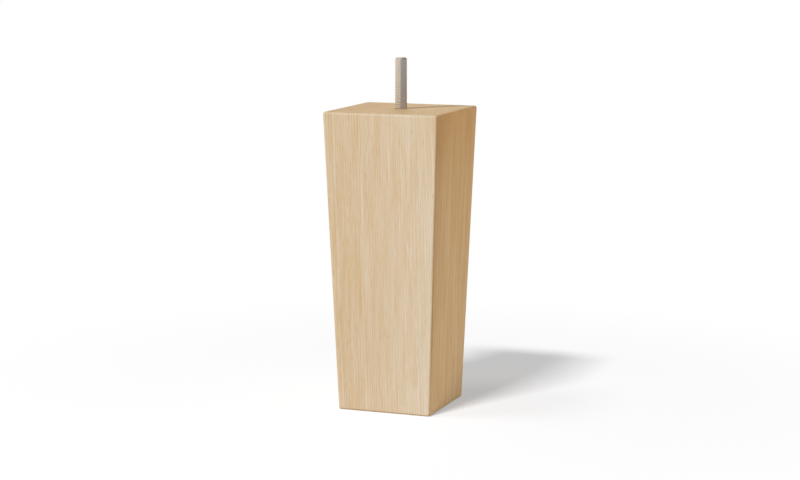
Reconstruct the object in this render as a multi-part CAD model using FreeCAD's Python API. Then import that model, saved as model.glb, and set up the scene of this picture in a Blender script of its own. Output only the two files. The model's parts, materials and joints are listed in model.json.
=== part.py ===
import FreeCAD, Part
import math
import os

from FreeCAD import Vector

# Leg body: one square block of solid wood that narrows evenly from its top to its foot
leg_height = 200.0
top_width = 80.0
foot_width = 65.0
edge_radius = 1.5  # every edge of the block is eased by this much

# Hanger bolt: a machine-threaded stud stands out of the wood, a wood thread holds it inside
bolt_length = 80.0
stud_projection = 34.0
stud_diameter = 8.0
stud_pitch = 1.25
stud_end_chamfer = 1.0
shank_length = 6.0
wood_thread_diameter = 8.0
wood_core_diameter = 5.6
wood_thread_pitch = 3.6
wood_thread_crest = 0.3  # width of the flat along the ridge
wood_thread_flank = 30.0  # degrees, each side of the ridge
wood_thread_runout = 2.0  # length over which the ridge dies into the shank
tip_angle = 60.0  # degrees, full angle of the bolt's point

# Drilled hole in the top of the leg
mouth_clearance = 0.2
shank_clearance = 0.05
pilot_clearance = 0.1
hole_spare_depth = 2.0  # depth of the pilot hole beyond the bolt's point
drill_point_angle = 118.0  # degrees, full angle left by the drill

# Extra length of a cutter or a blank beyond the surface it is trimmed at
overrun = 1.0

# Heights up the leg
stud_end = leg_height + stud_projection
bolt_tip = stud_end - bolt_length
shank_floor = leg_height - shank_length
pilot_floor = bolt_tip - hole_spare_depth

# Radii of the bolt; the shank is the blank of a rolled thread, at the thread's pitch diameter
pitch_depth = stud_pitch * 3 * math.sqrt(3) / 8
stud_radius = stud_diameter / 2
shank_radius = (stud_diameter - pitch_depth) / 2
ridge_radius = wood_thread_diameter / 2
core_radius = wood_core_diameter / 2


def turned(points):
    # Solid of revolution about the leg's axis, from (radius, height) corners
    corners = [Vector(radius, 0, height) for radius, height in points]
    section = Part.Face(Part.makePolygon(corners + corners[:1]))
    return section.revolve(Vector(0, 0, 0), Vector(0, 0, 1), 360)


def wood_thread_ridge():
    # Right-handed ridge, longer than the bolt's wood thread at both ends; its root is sunk in the core
    root_radius = core_radius - wood_thread_crest
    crest_half = wood_thread_crest / 2
    root_half = crest_half + (ridge_radius - root_radius) * math.tan(math.radians(wood_thread_flank))
    start = bolt_tip - wood_thread_pitch
    helix = Part.makeLongHelix(wood_thread_pitch, shank_floor + wood_thread_pitch - start, ridge_radius)
    profile = [
        Vector(root_radius, 0, -root_half),
        Vector(ridge_radius, 0, -crest_half),
        Vector(ridge_radius, 0, crest_half),
        Vector(root_radius, 0, root_half),
    ]
    ridge = helix.makePipeShell([Part.makePolygon(profile + profile[:1])], True, True)
    ridge.translate(Vector(0, 0, start))
    return ridge


def hanger_bolt():
    # Wood thread: core and ridge, trimmed to a point below and to the shank above
    core = turned([
        (0, bolt_tip - overrun),
        (core_radius, bolt_tip - overrun),
        (core_radius, shank_floor + overrun),
        (0, shank_floor + overrun),
    ])
    outer_radius = ridge_radius + overrun
    point_slope = math.tan(math.radians(tip_angle / 2))
    runout_slope = (ridge_radius - shank_radius + pilot_clearance) / wood_thread_runout
    outline = turned([
        (0, bolt_tip),
        (outer_radius, bolt_tip + outer_radius / point_slope),
        (outer_radius, shank_floor - (outer_radius - shank_radius + pilot_clearance) / runout_slope),
        (shank_radius - pilot_clearance, shank_floor),
        (0, shank_floor),
    ])
    wood_thread = core.fuse(wood_thread_ridge()).common(outline)
    # Shank and stud: the thread begins where the bolt leaves the wood
    stud = turned([
        (0, shank_floor),
        (shank_radius, shank_floor),
        (shank_radius, leg_height - (stud_radius - shank_radius)),
        (stud_radius, leg_height),
        (stud_radius, stud_end - stud_end_chamfer),
        (stud_radius - stud_end_chamfer, stud_end),
        (0, stud_end),
    ])
    return stud.fuse(wood_thread)


def drilled_hole():
    # Stepped blind hole: pilot for the wood thread, wider shank hole, countersunk mouth
    pilot_radius = core_radius + pilot_clearance
    shank_hole_radius = shank_radius + shank_clearance
    mouth_radius = stud_radius + mouth_clearance
    drill_point = pilot_radius / math.tan(math.radians(drill_point_angle / 2))
    return turned([
        (0, pilot_floor - drill_point),
        (pilot_radius, pilot_floor),
        (pilot_radius, shank_floor),
        (shank_hole_radius, shank_floor),
        (shank_hole_radius, leg_height - (mouth_radius - shank_hole_radius)),
        (mouth_radius + overrun, leg_height + overrun),
        (0, leg_height + overrun),
    ])


def leg_body(bolt):
    # The wedge grows along Y and is turned to stand on its foot
    foot_half = foot_width / 2
    top_half = top_width / 2
    block = Part.makeWedge(
        -foot_half, 0, -foot_half, -top_half, -top_half,
        foot_half, leg_height, foot_half, top_half, top_half,
    )
    block.rotate(Vector(0, 0, 0), Vector(1, 0, 0), 90)
    eased = block.makeFillet(edge_radius, block.Edges)
    # The wood thread presses its own groove into the wall of the pilot hole
    return eased.cut(drilled_hole()).cut(bolt)


os.makedirs("parts", exist_ok=True)
bolt = hanger_bolt()
bolt.Solids[0].exportStep("parts/hanger_bolt.step")
leg_body(bolt).Solids[0].exportStep("parts/leg_body.step")
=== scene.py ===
import bpy
import json
import math
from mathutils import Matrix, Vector

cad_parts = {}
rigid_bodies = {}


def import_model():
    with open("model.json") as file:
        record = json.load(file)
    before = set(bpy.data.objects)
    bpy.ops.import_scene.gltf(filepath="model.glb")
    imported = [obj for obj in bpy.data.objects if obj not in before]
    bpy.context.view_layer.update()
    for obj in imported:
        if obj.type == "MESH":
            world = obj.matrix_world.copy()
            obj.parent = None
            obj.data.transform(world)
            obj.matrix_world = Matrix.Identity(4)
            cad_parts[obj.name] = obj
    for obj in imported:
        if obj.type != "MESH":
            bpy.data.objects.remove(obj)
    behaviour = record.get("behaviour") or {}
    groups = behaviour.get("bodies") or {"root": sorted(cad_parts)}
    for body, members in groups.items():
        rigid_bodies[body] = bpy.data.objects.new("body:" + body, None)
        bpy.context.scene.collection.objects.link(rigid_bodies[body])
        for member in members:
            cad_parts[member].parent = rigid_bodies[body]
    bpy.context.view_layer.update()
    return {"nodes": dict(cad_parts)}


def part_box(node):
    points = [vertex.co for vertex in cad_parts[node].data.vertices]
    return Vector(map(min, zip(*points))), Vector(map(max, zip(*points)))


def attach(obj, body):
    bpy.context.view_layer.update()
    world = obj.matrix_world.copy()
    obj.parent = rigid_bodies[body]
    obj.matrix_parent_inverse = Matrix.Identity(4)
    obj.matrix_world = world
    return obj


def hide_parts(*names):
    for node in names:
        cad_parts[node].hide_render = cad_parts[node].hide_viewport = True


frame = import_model()
mm = 0.001  # metres in a millimetre
scene = bpy.context.scene
scene.view_settings.view_transform = "Standard"
print("frame loaded:", ", ".join(sorted(frame["nodes"])))


def hexToLinear(hexText):
    channels = [int(hexText[i:i + 2], 16) / 255 for i in (1, 3, 5)]
    linear = [c / 12.92 if c <= 0.04045 else ((c + 0.055) / 1.055) ** 2.4 for c in channels]
    return (*linear, 1.0)


def addNode(tree, kind, links=None, **settings):
    # links: socket name or number -> a value, a socket, or a node whose first output is meant
    node = tree.nodes.new(kind)
    for name, value in settings.items():
        setattr(node, name, value)
    for key, value in (links or {}).items():
        if isinstance(value, bpy.types.Node):
            value = value.outputs[0]
        if isinstance(value, bpy.types.NodeSocket):
            tree.links.new(value, node.inputs[key])
        else:
            node.inputs[key].default_value = value
    return node


def newMaterial(name):
    material = bpy.data.materials.new(name)
    material.use_nodes = True
    material.node_tree.nodes.clear()
    return material, material.node_tree


def placeInMm(tree):
    coords = addNode(tree, "ShaderNodeTexCoord").outputs["Object"]
    return addNode(tree, "ShaderNodeVectorMath", {0: coords, "Scale": 1 / mm}, operation="SCALE")


# Wood of the leg body
oak = dict(
    longGrain=dict(dark="#C3A376", light="#D8CBB6"),  # the four sides
    endGrain=dict(dark="#B49060", light="#CBAD82"),  # top and foot, darker
    # Sides and ends: the axis that they face, and the part of the normal along it, from none to full effect
    cuts=dict(side=("X", 0.55, 0.9), end=("Z", 0.75, 0.97)),
    paintedShade="#EAE4DC",  # painted shade: darkens the right side near its front edge, most at the top
    paintedShadeAtMm=(40.0, -41.0, 200.0), paintedShadeSizeMm=(40.0, 18.0, 260.0),
    boardMm=(37.0, -12.0, 150.0),  # which part of the tree's grain the leg was cut from
    pithMm=(-230.0, 70.0, 0.0),  # heart of the tree, well outside the leg, so that the lines run straight
    sideMm=36.0,  # depth at which the sides read the grain, so that it follows their taper
    ringMm=1.65, ringShare=0.085,  # growth rings: spacing, and how much they show
    ringFade=(0.3, 1.7), fadeBand=(0.35, 0.65),  # they are fainter in the dark bands
    wanderMm=5.0, wanderRings=1.3, wanderDetail=1.0,  # how unevenly they are spaced
    fibre=dict(cellMm=(0.45, 2.0, 60.0), detail=0.0, share=0.50),  # long fine lines along the leg
    fleck=dict(cellMm=(0.7, 1.5, 8.0), detail=1.0, share=0.42),  # short ones that break them up
    streak=dict(cellMm=(3.6, 9.0, 45.0), detail=0.0, share=0.38),  # wider streaks
    band=dict(cellMm=(11.0, 16.0, 170.0), detail=1.0, share=0.19),  # slow drift of tone across the board
    pore=dict(cellMm=(0.45, 0.50, 7.0), detail=0.0, share=0.22),  # 0.2 mm wide, drawn coarser to show
    poreFrom=0.60, poreTo=0.80,  # noise level at which a pore starts and is deepest
    waveMm=(32.0, 32.0, 90.0), waveDepthMm=1.3, waveDetail=1.0,  # slow waviness of the fibres
    paleMm=(-34.0, 34.0), paleShare=0.28,  # the wood pales towards the sapwood edge
    roughnessDark=0.62, roughnessLight=0.50, specular=0.3, ior=1.5,  # matt lacquer
    bumpMm=0.02, bumpStrength=0.3,  # grain that can just be felt
    marks=[  # pin knots that the grain flows round, dark and pale streaks that lean, painted shade at the top of the right side and painted light at its foot
        dict(atMm=(21.8, -33.5, 27.7), sizeMm=(4.0, 14.0, 6.0), swirl=0.40, lean=0.0, dark=0.08),
        dict(atMm=(-26.5, -34.9, 64.2), sizeMm=(4.0, 14.0, 5.0), swirl=0.35, lean=0.0, dark=0.08),
        dict(atMm=(29.7, -38.5, 160.6), sizeMm=(0.45, 4.0, 8.0), swirl=0.0, lean=0.0, dark=0.40),
        dict(atMm=(-15.6, -35.4, 76.0), sizeMm=(0.50, 4.0, 16.0), swirl=0.0, lean=0.0, dark=0.25),
        dict(atMm=(-12.8, -38.2, 151.0), sizeMm=(0.70, 4.0, 30.0), swirl=0.0, lean=0.019, dark=-0.25),
        dict(atMm=(17.0, -39.4, 185.0), sizeMm=(0.80, 4.0, 12.0), swirl=0.0, lean=-0.175, dark=-0.22),
        dict(atMm=(18.4, -36.7, 113.0), sizeMm=(0.80, 4.0, 12.0), swirl=0.0, lean=-0.200, dark=-0.22),
        # painted shade: darker top of the right side
        dict(atMm=(41.0, 0.0, 200.0), sizeMm=(12.0, 80.0, 45.0), swirl=0.0, lean=0.0, dark=0.34),
        # painted light: paler foot of the right side
        dict(atMm=(33.0, 0.0, 0.0), sizeMm=(12.0, 80.0, 70.0), swirl=0.0, lean=0.0, dark=-0.16),
    ],
)


def cutMask(tree, cut, ways):
    # 1 on the faces of that cut, 0 on the others
    axis, low, high = oak["cuts"][cut]
    return addNode(
        tree, "ShaderNodeMapRange", {"Value": ways[axis], "From Min": low, "From Max": high},
        interpolation_type="SMOOTHSTEP")


def softSpot(tree, away, sizeMm):
    # 1 in the middle of the spot, fading to 0 a little beyond its size
    near = addNode(tree, "ShaderNodeVectorMath", {0: away, 1: sizeMm}, operation="DIVIDE")
    square = addNode(tree, "ShaderNodeVectorMath", {0: near, 1: near}, operation="DOT_PRODUCT")
    return addNode(tree, "ShaderNodeMath", {0: 1 / math.e, 1: square.outputs["Value"]}, operation="POWER")


def oakFibres(tree, place, ways):
    # Where each point lies in the tree, in mm, and the soft spots that darken or pale it, painted shade and
    # painted light among them
    spot = addNode(tree, "ShaderNodeSeparateXYZ", {0: place}).outputs
    whichSide = addNode(tree, "ShaderNodeMath", {0: spot["X"]}, operation="SIGN")
    sideDepth = addNode(tree, "ShaderNodeMath", {0: whichSide, 1: oak["sideMm"]}, operation="MULTIPLY")
    depth = addNode(
        tree, "ShaderNodeMix", {"Factor": cutMask(tree, "side", ways), 2: spot["X"], 3: sideDepth},
        data_type="FLOAT")
    board = addNode(tree, "ShaderNodeCombineXYZ", {"X": depth, "Y": spot["Y"], "Z": spot["Z"]})

    waveAt = addNode(tree, "ShaderNodeVectorMath", {0: place, 1: oak["waveMm"]}, operation="DIVIDE")
    wave = addNode(
        tree, "ShaderNodeTexNoise", {"Vector": waveAt, "Scale": 1.0, "Detail": oak["waveDetail"]})
    centred = addNode(
        tree, "ShaderNodeVectorMath", {0: wave.outputs["Color"], 1: (0.5, 0.5, 0.5)}, operation="SUBTRACT")
    reach = 2 * oak["waveDepthMm"]
    fibres = addNode(
        tree, "ShaderNodeVectorMath", {0: centred, 1: (reach, reach, 0), 2: board},
        operation="MULTIPLY_ADD")

    shades = []
    for mark in oak["marks"]:
        away = addNode(tree, "ShaderNodeVectorMath", {0: place, 1: mark["atMm"]}, operation="SUBTRACT")
        if mark["lean"]:
            rise = addNode(tree, "ShaderNodeSeparateXYZ", {0: away}).outputs["Z"]
            away = addNode(
                tree, "ShaderNodeVectorMath", {0: rise, 1: (-mark["lean"], 0, 0), 2: away},
                operation="MULTIPLY_ADD")
        soft = softSpot(tree, away, mark["sizeMm"])
        if mark["swirl"]:
            spread = addNode(tree, "ShaderNodeVectorMath", {0: away, "Scale": soft}, operation="SCALE")
            fibres = addNode(
                tree, "ShaderNodeVectorMath", {0: spread, 1: (-mark["swirl"], 0, 0), 2: fibres},
                operation="MULTIPLY_ADD")
        shades.append((soft, -mark["dark"]))
    pale = addNode(
        tree, "ShaderNodeMapRange",
        {"Value": spot["X"], "From Min": oak["paleMm"][0], "From Max": oak["paleMm"][1],
         "To Min": -0.5, "To Max": 0.5})
    shades.append((pale, oak["paleShare"]))
    return fibres, shades


def oakGrain(tree, place, ways):
    # Tone of the wood, from 0 dark to 1 light: growth rings round the pith, and noise at five stretches
    fibres, shades = oakFibres(tree, place, ways)
    fromPith = addNode(tree, "ShaderNodeVectorMath", {0: fibres, 1: oak["pithMm"]}, operation="SUBTRACT")
    acrossTree = addNode(tree, "ShaderNodeVectorMath", {0: fromPith, 1: (1, 1, 0)}, operation="MULTIPLY")
    radius = addNode(tree, "ShaderNodeVectorMath", {0: acrossTree}, operation="LENGTH").outputs["Value"]
    even = addNode(tree, "ShaderNodeMath", {0: radius, 1: oak["ringMm"]}, operation="DIVIDE")
    wander = addNode(
        tree, "ShaderNodeTexNoise",
        {"W": radius, "Scale": 1 / oak["wanderMm"], "Detail": oak["wanderDetail"]},
        noise_dimensions="1D").outputs["Fac"]
    year = addNode(
        tree, "ShaderNodeMath", {0: wander, 1: oak["wanderRings"], 2: even}, operation="MULTIPLY_ADD")
    season = addNode(tree, "ShaderNodeMath", {0: year, 1: math.tau}, operation="MULTIPLY")
    rings = addNode(tree, "ShaderNodeMath", {0: season}, operation="SINE")

    board = addNode(tree, "ShaderNodeVectorMath", {0: fibres, 1: oak["boardMm"]}, operation="ADD")
    layers = {}
    for name in ("fibre", "fleck", "streak", "band", "pore"):
        layer = oak[name]
        at = addNode(tree, "ShaderNodeVectorMath", {0: board, 1: layer["cellMm"]}, operation="DIVIDE")
        noise = addNode(
            tree, "ShaderNodeTexNoise", {"Vector": at, "Scale": 1.0, "Detail": layer["detail"]})
        layers[name] = noise.outputs["Fac"]
    ringStrength = addNode(
        tree, "ShaderNodeMapRange",
        {"Value": layers["band"], "From Min": oak["fadeBand"][0], "From Max": oak["fadeBand"][1],
         "To Min": oak["ringFade"][0] * oak["ringShare"], "To Max": oak["ringFade"][1] * oak["ringShare"]})
    pores = addNode(
        tree, "ShaderNodeMapRange",
        {"Value": layers["pore"], "From Min": oak["poreFrom"], "From Max": oak["poreTo"]},
        interpolation_type="SMOOTHSTEP")

    # The shares add up round a middle tone
    smooth = [(layers[name], oak[name]["share"]) for name in ("fibre", "fleck", "streak", "band")]
    middle = 0.5 - 0.5 * sum(share for layer, share in smooth)
    tone = addNode(
        tree, "ShaderNodeMath", {0: rings, 1: ringStrength, 2: middle}, operation="MULTIPLY_ADD")
    for layer, share in smooth + shades + [(pores, -oak["pore"]["share"])]:
        tone = addNode(tree, "ShaderNodeMath", {0: layer, 1: share, 2: tone}, operation="MULTIPLY_ADD")
    return addNode(tree, "ShaderNodeClamp", {"Value": tone})


def oakColour(tree, grain, place, ways):
    # End grain is darker than long grain, and painted shade darkens the right side near its front edge
    shown = []
    for pair in (oak["longGrain"], oak["endGrain"]):
        tones = {"Factor": grain, 6: hexToLinear(pair["dark"]), 7: hexToLinear(pair["light"])}
        shown.append(addNode(tree, "ShaderNodeMix", tones, data_type="RGBA").outputs[2])
    cuts = {"Factor": cutMask(tree, "end", ways), 6: shown[0], 7: shown[1]}
    colour = addNode(tree, "ShaderNodeMix", cuts, data_type="RGBA").outputs[2]
    # Painted shade: a soft spot, only on the sides, darkens the right side near its front edge
    away = addNode(tree, "ShaderNodeVectorMath", {0: place, 1: oak["paintedShadeAtMm"]}, operation="SUBTRACT")
    spot = softSpot(tree, away, oak["paintedShadeSizeMm"])
    paintedShade = addNode(tree, "ShaderNodeMath", {0: spot, 1: cutMask(tree, "side", ways)}, operation="MULTIPLY")
    darker = {"Factor": paintedShade, 6: colour, 7: hexToLinear(oak["paintedShade"])}
    return addNode(tree, "ShaderNodeMix", darker, data_type="RGBA", blend_type="MULTIPLY").outputs[2]


def makeOak():
    # Planed and sanded oak under a clear matt lacquer: pale straight grain, little shine, darker end grain
    material, tree = newMaterial("oak_matt_lacquer")
    normal = addNode(tree, "ShaderNodeNewGeometry").outputs["Normal"]
    facing = addNode(tree, "ShaderNodeVectorMath", {0: normal}, operation="ABSOLUTE")
    ways = addNode(tree, "ShaderNodeSeparateXYZ", {0: facing}).outputs
    place = placeInMm(tree)
    grain = oakGrain(tree, place, ways)
    colour = oakColour(tree, grain, place, ways)
    rough = addNode(
        tree, "ShaderNodeMapRange",
        {"Value": grain, "To Min": oak["roughnessDark"], "To Max": oak["roughnessLight"]})
    bump = addNode(
        tree, "ShaderNodeBump",
        {"Height": grain, "Strength": oak["bumpStrength"], "Distance": oak["bumpMm"] * mm})
    shader = addNode(
        tree, "ShaderNodeBsdfPrincipled",
        {"Base Color": colour, "Roughness": rough, "Normal": bump,
         "Specular IOR Level": oak["specular"], "IOR": oak["ior"]})
    addNode(tree, "ShaderNodeOutputMaterial", {"Surface": shader})
    return material


frame["nodes"]["leg_body"].material_slots[0].material = makeOak()
print("leg body: oak")


# Hanger bolt: heights come from the frame, the rest are the sizes of the two threads
boltLow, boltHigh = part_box("hanger_bolt")
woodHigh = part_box("leg_body")[1]
bolt = dict(
    endMm=boltHigh.z / mm, tipMm=boltLow.z / mm, topOfWoodMm=woodHigh.z / mm, shankLengthMm=6.0,
    studMm=8.0, pitchMm=1.25, chamferMm=1.0,
    depthMm=0.16, crestEdge=0.18, rootEdge=0.48,  # worn and plated thread, shallow with broad crests
    shankMm=7.19, woodThreadMm=8.0, woodCoreMm=5.6, woodPitchMm=3.6, woodCrestMm=0.3, woodFlankDeg=30.0,
    runoutMm=2.0, tipDeg=60.0, tipFlatMm=0.4,
    sides=64, studRows=436, shankRows=24, woodRows=200,
)
zinc = dict(
    crest="#D7CCBC", root="#CDC2B4",  # lighter on the crests, darker towards the roots
    spangleMm=0.9, spangleDetail=3.0, spangleRoughness=0.6, spangleShare=0.25,  # mottled plating
    roughnessBright=0.26, roughnessDull=0.36, dullRange=(0.3, 0.7),  # noise levels of the two
)


def makeZinc():
    # Zinc-plated steel, rolled thread: a soft grey metal, brighter on the crests
    material, tree = newMaterial("zinc_plated_steel")
    place = placeInMm(tree)
    flat = addNode(tree, "ShaderNodeVectorMath", {0: place, 1: (1, 1, 0)}, operation="MULTIPLY")
    radius = addNode(tree, "ShaderNodeVectorMath", {0: flat}, operation="LENGTH").outputs["Value"]
    crestMm = bolt["studMm"] / 2
    height = addNode(
        tree, "ShaderNodeMapRange",
        {"Value": radius, "From Min": crestMm - bolt["depthMm"], "From Max": crestMm})
    spangle = addNode(
        tree, "ShaderNodeTexNoise",
        {"Vector": place, "Scale": 1 / zinc["spangleMm"], "Detail": zinc["spangleDetail"],
         "Roughness": zinc["spangleRoughness"]}).outputs["Fac"]
    middle = addNode(tree, "ShaderNodeMath", {0: spangle, 1: 0.5}, operation="SUBTRACT")
    bright = addNode(
        tree, "ShaderNodeMath", {0: middle, 1: 2 * zinc["spangleShare"], 2: height},
        operation="MULTIPLY_ADD", use_clamp=True)
    colour = addNode(
        tree, "ShaderNodeMix",
        {"Factor": bright, 6: hexToLinear(zinc["root"]), 7: hexToLinear(zinc["crest"])}, data_type="RGBA")
    rough = addNode(
        tree, "ShaderNodeMapRange",
        {"Value": spangle, "From Min": zinc["dullRange"][0], "From Max": zinc["dullRange"][1],
         "To Min": zinc["roughnessBright"], "To Max": zinc["roughnessDull"]})
    shader = addNode(
        tree, "ShaderNodeBsdfPrincipled",
        {"Base Color": colour.outputs[2], "Roughness": rough, "Metallic": 1.0})
    addNode(tree, "ShaderNodeOutputMaterial", {"Surface": shader})
    return material


def studThread(tree, size, height, turn):
    # Radius of the stud: a shallow rolled thread with rounded roots, and a chamfered end
    crest = addNode(tree, "ShaderNodeMath", {0: size["studMm"], 1: 0.5}, operation="MULTIPLY")
    root = addNode(tree, "ShaderNodeMath", {0: crest, 1: size["depthMm"]}, operation="SUBTRACT")
    turns = addNode(tree, "ShaderNodeMath", {0: height, 1: size["pitchMm"]}, operation="DIVIDE")
    phase = addNode(tree, "ShaderNodeMath", {0: turns, 1: turn}, operation="SUBTRACT")
    fromCrest = addNode(tree, "ShaderNodeMath", {0: phase, 1: 0.5}, operation="PINGPONG")
    thread = addNode(
        tree, "ShaderNodeMapRange",
        {"Value": fromCrest, "From Min": size["crestEdge"], "From Max": size["rootEdge"],
         "To Min": crest, "To Max": root},
        interpolation_type="SMOOTHSTEP")
    toEnd = addNode(tree, "ShaderNodeMath", {0: size["endMm"], 1: height}, operation="SUBTRACT")
    endRadius = addNode(tree, "ShaderNodeMath", {0: crest, 1: size["chamferMm"]}, operation="SUBTRACT")
    chamfer = addNode(tree, "ShaderNodeMath", {0: toEnd, 1: endRadius}, operation="ADD")
    return addNode(tree, "ShaderNodeMath", {0: thread, 1: chamfer}, operation="MINIMUM")


def woodThread(tree, size, height, turn, shankFloor, shank):
    # Radius of the wood thread: sharp ridges on a core, dying out at the point and below the shank
    ridge = addNode(tree, "ShaderNodeMath", {0: size["woodThreadMm"], 1: 0.5}, operation="MULTIPLY")
    core = addNode(tree, "ShaderNodeMath", {0: size["woodCoreMm"], 1: 0.5}, operation="MULTIPLY")
    fromTip = addNode(tree, "ShaderNodeMath", {0: height, 1: size["tipMm"]}, operation="SUBTRACT")
    turns = addNode(tree, "ShaderNodeMath", {0: fromTip, 1: size["woodPitchMm"]}, operation="DIVIDE")
    phase = addNode(tree, "ShaderNodeMath", {0: turns, 1: turn}, operation="SUBTRACT")
    step = addNode(tree, "ShaderNodeMath", {0: phase, 1: 0.5}, operation="PINGPONG")
    fromCrest = addNode(tree, "ShaderNodeMath", {0: step, 1: size["woodPitchMm"]}, operation="MULTIPLY")
    crestHalf = addNode(tree, "ShaderNodeMath", {0: size["woodCrestMm"], 1: 0.5}, operation="MULTIPLY")
    proud = addNode(tree, "ShaderNodeMath", {0: ridge, 1: core}, operation="SUBTRACT")
    flankAngle = addNode(tree, "ShaderNodeMath", {0: size["woodFlankDeg"]}, operation="RADIANS")
    flankSlope = addNode(tree, "ShaderNodeMath", {0: flankAngle}, operation="TANGENT")
    flankFoot = addNode(
        tree, "ShaderNodeMath", {0: proud, 1: flankSlope, 2: crestHalf}, operation="MULTIPLY_ADD")
    thread = addNode(
        tree, "ShaderNodeMapRange",
        {"Value": fromCrest, "From Min": crestHalf, "From Max": flankFoot,
         "To Min": ridge, "To Max": core})
    tipAngle = addNode(tree, "ShaderNodeMath", {0: size["tipDeg"]}, operation="RADIANS")
    tipHalf = addNode(tree, "ShaderNodeMath", {0: tipAngle, 1: 0.5}, operation="MULTIPLY")
    tipSlope = addNode(tree, "ShaderNodeMath", {0: tipHalf}, operation="TANGENT")
    tipRadius = addNode(tree, "ShaderNodeMath", {0: size["tipFlatMm"], 1: 0.5}, operation="MULTIPLY")
    tipCone = addNode(
        tree, "ShaderNodeMath", {0: fromTip, 1: tipSlope, 2: tipRadius}, operation="MULTIPLY_ADD")
    toShank = addNode(tree, "ShaderNodeMath", {0: shankFloor, 1: height}, operation="SUBTRACT")
    runout = addNode(
        tree, "ShaderNodeMapRange",
        {"Value": toShank, "From Max": size["runoutMm"], "To Min": shank, "To Max": ridge})
    pointed = addNode(tree, "ShaderNodeMath", {0: thread, 1: tipCone}, operation="MINIMUM")
    return addNode(tree, "ShaderNodeMath", {0: pointed, 1: runout}, operation="MINIMUM")


def boltTree(material):
    # A tube of rows is pushed out to the bolt's radius at each turn and height
    tree = bpy.data.node_groups.new("hangerBoltThread", "GeometryNodeTree")
    tree.interface.new_socket("Bolt", in_out="OUTPUT", socket_type="NodeSocketGeometry")
    sizes = {}
    for name, value in bolt.items():
        kind = "NodeSocketInt" if isinstance(value, int) else "NodeSocketFloat"
        sizes[name] = tree.interface.new_socket(name, in_out="INPUT", socket_type=kind).identifier
    size = addNode(tree, "NodeGroupInput").outputs

    shankTop = addNode(
        tree, "ShaderNodeMath", {0: size["woodRows"], 1: size["shankRows"]}, operation="ADD")
    allRows = addNode(tree, "ShaderNodeMath", {0: shankTop, 1: size["studRows"]}, operation="ADD")
    tube = addNode(
        tree, "GeometryNodeMeshCylinder",
        {"Vertices": size["sides"], "Side Segments": allRows, "Radius": 1.0, "Depth": 1.0},
        fill_type="NGON")
    spot = addNode(tree, "ShaderNodeSeparateXYZ", {0: addNode(tree, "GeometryNodeInputPosition")}).outputs
    angle = addNode(tree, "ShaderNodeMath", {0: spot["Y"], 1: spot["X"]}, operation="ARCTAN2")
    turn = addNode(tree, "ShaderNodeMath", {0: angle, 1: math.tau}, operation="DIVIDE")

    # Wood thread, shank and stud have their own spacing of rows
    shankFloor = addNode(
        tree, "ShaderNodeMath", {0: size["topOfWoodMm"], 1: size["shankLengthMm"]}, operation="SUBTRACT")
    share = addNode(tree, "ShaderNodeMath", {0: spot["Z"], 1: 0.5}, operation="ADD")
    row = addNode(tree, "ShaderNodeMath", {0: share, 1: allRows}, operation="MULTIPLY")
    inWood = addNode(
        tree, "ShaderNodeMapRange",
        {"Value": row, "From Max": size["woodRows"], "To Min": size["tipMm"], "To Max": shankFloor})
    inShank = addNode(
        tree, "ShaderNodeMapRange",
        {"Value": row, "From Min": size["woodRows"], "From Max": shankTop,
         "To Min": inWood, "To Max": size["topOfWoodMm"]})
    height = addNode(
        tree, "ShaderNodeMapRange",
        {"Value": row, "From Min": shankTop, "From Max": allRows,
         "To Min": inShank, "To Max": size["endMm"]})

    # The radius is picked by height
    shank = addNode(tree, "ShaderNodeMath", {0: size["shankMm"], 1: 0.5}, operation="MULTIPLY")
    stud = studThread(tree, size, height, turn)
    wood = woodThread(tree, size, height, turn, shankFloor, shank)
    aboveShank = addNode(
        tree, "FunctionNodeCompare", {0: height, 1: shankFloor}, operation="GREATER_EQUAL")
    aboveWood = addNode(
        tree, "FunctionNodeCompare", {0: height, 1: size["topOfWoodMm"]}, operation="GREATER_EQUAL")
    buried = addNode(
        tree, "GeometryNodeSwitch", {"Switch": aboveShank, "False": wood, "True": shank},
        input_type="FLOAT")
    radius = addNode(
        tree, "GeometryNodeSwitch", {"Switch": aboveWood, "False": buried, "True": stud},
        input_type="FLOAT")
    x = addNode(tree, "ShaderNodeMath", {0: spot["X"], 1: radius}, operation="MULTIPLY")
    y = addNode(tree, "ShaderNodeMath", {0: spot["Y"], 1: radius}, operation="MULTIPLY")
    pushed = addNode(tree, "ShaderNodeCombineXYZ", {"X": x, "Y": y, "Z": height})
    metres = addNode(tree, "ShaderNodeVectorMath", {0: pushed, "Scale": mm}, operation="SCALE")
    shaped = addNode(
        tree, "GeometryNodeSetPosition", {"Geometry": tube.outputs["Mesh"], "Position": metres})
    smooth = addNode(
        tree, "GeometryNodeSetShadeSmooth", {0: shaped, "Selection": tube.outputs["Side"]}, domain="FACE")
    solid = addNode(tree, "GeometryNodeRealizeInstances", {0: smooth})
    finished = addNode(tree, "GeometryNodeSetMaterial", {"Geometry": solid, "Material": material})
    addNode(tree, "NodeGroupOutput", {0: finished})
    return tree, sizes


def makeBolt():
    tree, sizes = boltTree(makeZinc())
    maker = bpy.data.objects.new("boltMaker", bpy.data.meshes.new("boltMaker"))
    scene.collection.objects.link(maker)
    modifier = maker.modifiers.new("thread", "NODES")
    modifier.node_group = tree
    for name, identifier in sizes.items():
        modifier[identifier] = bolt[name]
    evaluated = maker.evaluated_get(bpy.context.evaluated_depsgraph_get())
    mesh = bpy.data.meshes.new_from_object(evaluated)
    mesh.name = "threaded_bolt"
    maker.modifiers.remove(modifier)
    bpy.data.objects.remove(maker)
    piece = bpy.data.objects.new("threaded_bolt", mesh)
    scene.collection.objects.link(piece)
    return piece


boltPiece = makeBolt()
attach(boltPiece, "root")
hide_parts("hanger_bolt")
print("hanger bolt:", len(boltPiece.data.polygons), "faces")


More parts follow.
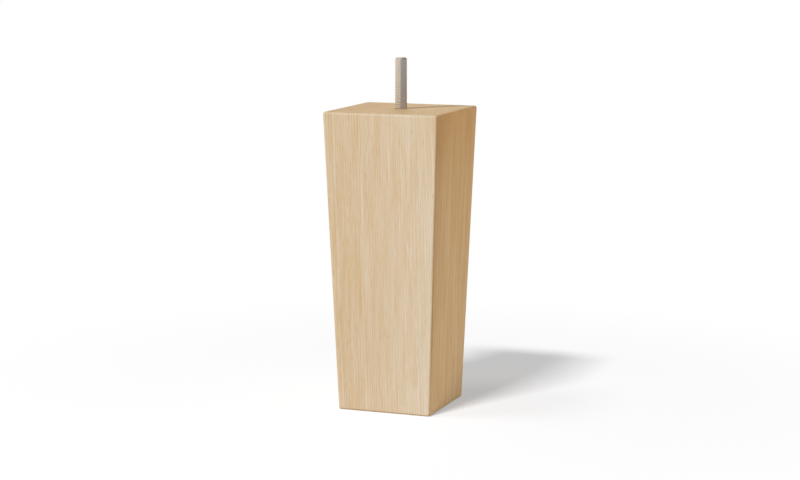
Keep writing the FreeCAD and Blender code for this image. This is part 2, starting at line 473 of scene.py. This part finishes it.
# Floor, sky, card and lamps; azimuth 0 is the front, positive to the right
studio = dict(
    floorHalfM=12.0, floorDropMm=0.05,
    floorPaper="#ADADAE", glow=0.38,  # a grey that its lamps and the glow bring to white
    floorBounce="#B69C73",  # warmer, for the light that it gives back to the wood
    fadeFromM=0.17, fadeToM=0.42,  # distance over which the floor becomes the white background
    sky="#FFFFFF", skyStrength=0.20,
    cardGrey="#A8B2C2", cardBrown="#A07C56", cardTurnM=(0.28, 0.70),  # it turns brown towards the back
    cardAzimuthDeg=88.0, cardAwayM=0.5, cardHalfM=6.0, cardHeightM=4.0,
    lampAwayM=8.0,
    # Turn is azimuth and elevation, width is across and up, all in degrees
    # Level is the light on a surface that faces the lamp; at pi a colour renders as it is written
    # On is the floor alone, or all but the floor: the photo lights the two from different sides
    lamps={
        "key": dict(turn=(-39.0, 34.0), width=(6.0, 6.0), level=4.22, colour="#DAEBFF", on="leg"),
        "warm": dict(turn=(106.0, 30.0), width=(100.0, 50.0), level=2.35, colour="#FFDFA4", on="leg"),
        "rear": dict(turn=(200.0, 25.0), width=(60.0, 40.0), level=1.10, colour="#FFE8C0", on="leg"),
        "spill": dict(turn=(-13.5, 52.4), width=(11.0, 5.0), level=4.07, colour="#FFFFFF", on="floor"),
        "fill": dict(turn=(-64.0, 67.0), width=(14.0, 14.0), level=0.72, colour="#FFFFFF", on="floor"),
    },
)


def towards(azimuthDeg, elevationDeg):
    # Unit vector from the object
    azimuth = math.radians(azimuthDeg)
    elevation = math.radians(elevationDeg)
    reach = math.cos(elevation)
    return Vector((math.sin(azimuth) * reach, -math.cos(azimuth) * reach, math.sin(elevation)))


def seenDirectly(tree):
    # 1 where the camera, a reflection or a glass looks at the surface, 0 where it only gives light
    path = addNode(tree, "ShaderNodeLightPath").outputs
    seen = addNode(
        tree, "ShaderNodeMath", {0: path["Is Camera Ray"], 1: path["Is Glossy Ray"]}, operation="MAXIMUM")
    return addNode(tree, "ShaderNodeMath", {0: seen, 1: path["Is Transmission Ray"]}, operation="MAXIMUM")


def addSheet(name, corners, material):
    mesh = bpy.data.meshes.new(name)
    mesh.from_pydata(corners, [], [(0, 1, 2, 3)])
    mesh.materials.append(material)
    sheet = bpy.data.objects.new(name, mesh)
    scene.collection.objects.link(sheet)
    return sheet


def makeFloor():
    # Matt paper sweep: plain, keeps the shadow and fades into the white background
    material, tree = newMaterial("matt_paper")
    coords = addNode(tree, "ShaderNodeTexCoord").outputs["Object"]
    away = addNode(tree, "ShaderNodeVectorMath", {0: coords}, operation="LENGTH").outputs["Value"]
    fade = addNode(
        tree, "ShaderNodeMapRange",
        {"Value": away, "From Min": studio["fadeFromM"], "From Max": studio["fadeToM"]},
        interpolation_type="SMOOTHSTEP")
    seen = seenDirectly(tree)
    glow = addNode(tree, "ShaderNodeMath", {0: seen, 1: studio["glow"]}, operation="MULTIPLY")
    bounced = addNode(tree, "ShaderNodeLightPath").outputs["Is Diffuse Ray"]
    tone = addNode(
        tree, "ShaderNodeMix",
        {"Factor": bounced, 6: hexToLinear(studio["floorPaper"]), 7: hexToLinear(studio["floorBounce"])},
        data_type="RGBA").outputs[2]
    paper = addNode(tree, "ShaderNodeBsdfDiffuse", {"Color": tone})
    shine = addNode(tree, "ShaderNodeEmission", {"Strength": glow})
    near = addNode(tree, "ShaderNodeAddShader", {0: paper, 1: shine})
    white = addNode(tree, "ShaderNodeEmission", {"Strength": 1.0})
    share = addNode(tree, "ShaderNodeMath", {0: seen, 1: fade}, operation="MULTIPLY")
    sweep = addNode(tree, "ShaderNodeMixShader", {0: share, 1: near, 2: white})
    addNode(tree, "ShaderNodeOutputMaterial", {"Surface": sweep})
    half = studio["floorHalfM"]
    drop = -studio["floorDropMm"] * mm
    corners = [(x * half, y * half, drop) for x, y in ((-1, -1), (1, -1), (1, 1), (-1, 1))]
    return addSheet("floor", corners, material)


def makeSky():
    world = bpy.data.worlds.new("studio")
    scene.world = world
    world.use_nodes = True
    tree = world.node_tree
    tree.nodes.clear()
    colour = hexToLinear(studio["sky"])
    soft = addNode(tree, "ShaderNodeBackground", {"Color": colour, "Strength": studio["skyStrength"]})
    white = addNode(tree, "ShaderNodeBackground", {"Color": colour, "Strength": 1.0})
    mixed = addNode(tree, "ShaderNodeMixShader", {0: seenDirectly(tree), 1: soft, 2: white})
    addNode(tree, "ShaderNodeOutputWorld", {"Surface": mixed})


def makeCard():
    # Grey card on the right, which only reflections show: it leaves one bright side on the stud
    material, tree = newMaterial("grey_card")
    towardsBack = towards(studio["cardAzimuthDeg"] + 90, 0)
    coords = addNode(tree, "ShaderNodeTexCoord").outputs["Object"]
    along = addNode(tree, "ShaderNodeVectorMath", {0: coords, 1: towardsBack}, operation="DOT_PRODUCT")
    start, end = studio["cardTurnM"]
    turn = addNode(
        tree, "ShaderNodeMapRange", {"Value": along.outputs["Value"], "From Min": start, "From Max": end})
    pair = {"Factor": turn, 6: hexToLinear(studio["cardGrey"]), 7: hexToLinear(studio["cardBrown"])}
    tone = addNode(tree, "ShaderNodeMix", pair, data_type="RGBA").outputs[2]
    shine = addNode(tree, "ShaderNodeEmission", {"Color": tone, "Strength": 1.0})
    addNode(tree, "ShaderNodeOutputMaterial", {"Surface": shine})
    middle = towards(studio["cardAzimuthDeg"], 0) * studio["cardAwayM"]
    half = towardsBack * studio["cardHalfM"]
    up = Vector((0, 0, studio["cardHeightM"]))
    corners = [middle - half, middle + half, middle + half + up, middle - half + up]
    card = addSheet("greyCard", corners, material)
    card.visible_camera = False
    card.visible_diffuse = False
    card.visible_shadow = False


def makeLamp(floor, name, turn, width, level, colour, on):
    away = studio["lampAwayM"]
    lamp = bpy.data.lights.new(name, "AREA")
    lamp.shape = "RECTANGLE"
    lamp.size = 2 * away * math.tan(math.radians(width[0] / 2))
    lamp.size_y = 2 * away * math.tan(math.radians(width[1] / 2))
    lamp.energy = level * math.pi * away ** 2
    lamp.color = hexToLinear(colour)[:3]
    light = bpy.data.objects.new(name, lamp)
    back = towards(*turn)
    light.location = back * away
    light.rotation_mode = "QUATERNION"
    light.rotation_quaternion = back.to_track_quat("Z", "Y")
    light.visible_glossy = False  # no hot spots on the thread
    scene.collection.objects.link(light)
    lit = bpy.data.collections.new(name + "Lit")  # what the lamp lights, or leaves out
    lit.objects.link(floor)
    lit.collection_objects[0].light_linking.link_state = "INCLUDE" if on == "floor" else "EXCLUDE"
    light.light_linking.receiver_collection = lit


floor = makeFloor()
makeSky()
makeCard()
for name, lamp in studio["lamps"].items():
    makeLamp(floor, name, **lamp)
print("studio: floor, sky, card and", len(studio["lamps"]), "lamps")


# Camera at the photograph's viewing angle; the picture is 800 by 480
shot = dict(
    aimMm=(-6.59, 15.48, 109.02), distanceMm=1423.3, azimuthDeg=20.718, elevationDeg=8.764,
    lensMm=94.32, sensorMm=36.0,
)


def makeCamera():
    lens = bpy.data.cameras.new("camera")
    lens.lens = shot["lensMm"]
    lens.sensor_width = shot["sensorMm"]
    lens.sensor_fit = "HORIZONTAL"
    camera = bpy.data.objects.new("camera", lens)
    back = towards(shot["azimuthDeg"], shot["elevationDeg"])
    camera.location = (Vector(shot["aimMm"]) + back * shot["distanceMm"]) * mm
    camera.rotation_mode = "QUATERNION"
    camera.rotation_quaternion = (-back).to_track_quat("-Z", "Y")
    scene.collection.objects.link(camera)
    scene.camera = camera


makeCamera()
print("camera: lens", shot["lensMm"], "mm")
